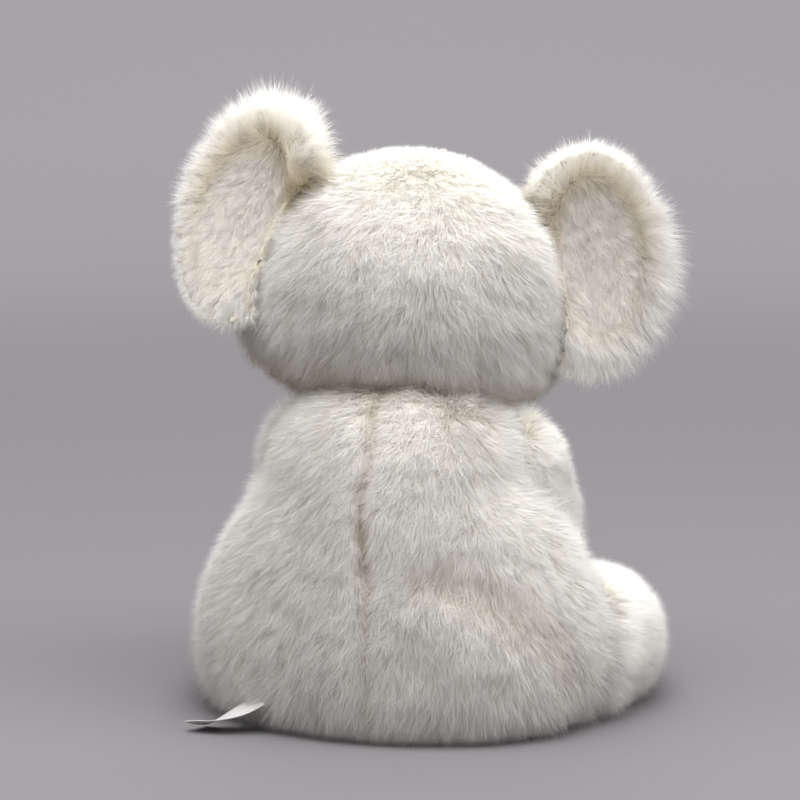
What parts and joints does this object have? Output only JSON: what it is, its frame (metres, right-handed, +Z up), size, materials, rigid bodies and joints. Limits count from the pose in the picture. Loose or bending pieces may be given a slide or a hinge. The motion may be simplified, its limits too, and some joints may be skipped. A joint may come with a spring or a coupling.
{
  "type": "plush koala",
  "caption": "Seated long-pile plush koala with a turning and nodding head, folding round ears, short arms and stub legs.",
  "frame": {"origin": "on the floor under the middle of the seat, at the middle of the base panel's flat underside", "axes": "+Z up, -Y the way the belly faces, +X to the toy's left"},
  "size_m": [0.1912, 0.1584, 0.2449],
  "materials": {
    "cream_fur": "long cream-white pile, matte",
    "tan_short_pile": "short beige pile, matte",
    "polyester_fibre": "loose white wadding",
    "pellet_cloth": "plain woven bag, filled with pellets",
    "satin_ribbon": "smooth white satin",
    "eye_plastic": "polished black-brown",
    "nose_plastic": "satin dark brown",
    "washer_plastic": "plain moulded",
    "dark_thread": "twisted embroidery thread"
  },
  "bodies": {
    "body": {"back_panel_left": "cream_fur", "back_panel_right": "cream_fur", "belly_panel": "cream_fur", "base_panel": "cream_fur", "body_filling": "polyester_fibre", "pellet_bag": "pellet_cloth", "care_label": "satin_ribbon"},
    "neck": {"neck_filling": "polyester_fibre"},
    "head": {"head_back_left": "cream_fur", "head_back_right": "cream_fur", "face_panel": "cream_fur", "muzzle_panel": "cream_fur", "head_filling": "polyester_fibre", "eye_left": "eye_plastic", "eye_right": "eye_plastic", "eye_washer_left": "washer_plastic", "eye_washer_right": "washer_plastic", "nose": "nose_plastic", "nose_washer": "washer_plastic", "mouth_stitch": "dark_thread"},
    "ear_left": {"ear_left_back": "tan_short_pile", "ear_left_front": "cream_fur"},
    "ear_right": {"ear_right_back": "tan_short_pile", "ear_right_front": "cream_fur"},
    "arm_left": {"arm_left_upper": "cream_fur", "arm_left_lower": "cream_fur", "arm_left_filling": "polyester_fibre"},
    "arm_right": {"arm_right_upper": "cream_fur", "arm_right_lower": "cream_fur", "arm_right_filling": "polyester_fibre"},
    "leg_left": {"leg_left_sole": "tan_short_pile", "leg_left_upper": "cream_fur", "leg_left_lower": "cream_fur", "leg_left_filling": "polyester_fibre"},
    "leg_right": {"leg_right_sole": "tan_short_pile", "leg_right_upper": "cream_fur", "leg_right_lower": "cream_fur", "leg_right_filling": "polyester_fibre"}
  },
  "joints": [
    {"name": "neck_turn", "type": "hinge", "parent": "body", "child": "neck", "pos_m": [0, 0, 0.094], "axis": [0, 0, 1], "range_deg": [-24, 15]},
    {"name": "head_nod", "type": "hinge", "parent": "neck", "child": "head", "pos_m": [0, 0, 0.094], "axis": [0.9135, 0.4067, 0], "range_deg": [-10, 4]},
    {"name": "ear_left_fold", "type": "hinge", "parent": "head", "child": "ear_left", "pos_m": [0.04432, 0.00972, 0.1981], "axis": [0.4119, 0.1834, -0.8926], "range_deg": [-22, 22]},
    {"name": "ear_right_fold", "type": "hinge", "parent": "head", "child": "ear_right", "pos_m": [-0.05162, -0.033, 0.18371], "axis": [0.1774, 0.079, 0.981], "range_deg": [-22, 22]},
    {"name": "arm_left_swing", "type": "hinge", "parent": "body", "child": "arm_left", "pos_m": [0.043, -0.014, 0.102], "axis": [-1, 0, 0], "range_deg": [-5, 18]},
    {"name": "arm_right_swing", "type": "hinge", "parent": "body", "child": "arm_right", "pos_m": [-0.043, -0.014, 0.102], "axis": [-1, 0, 0], "range_deg": [-5, 18]},
    {"name": "leg_left_lift", "type": "hinge", "parent": "body", "child": "leg_left", "pos_m": [0.058, -0.014, 0.025], "axis": [-1, 0, 0], "range_deg": [0, 18]},
    {"name": "leg_right_lift", "type": "hinge", "parent": "body", "child": "leg_right", "pos_m": [-0.058, -0.014, 0.025], "axis": [-1, 0, 0], "range_deg": [0, 18]}
  ]
}
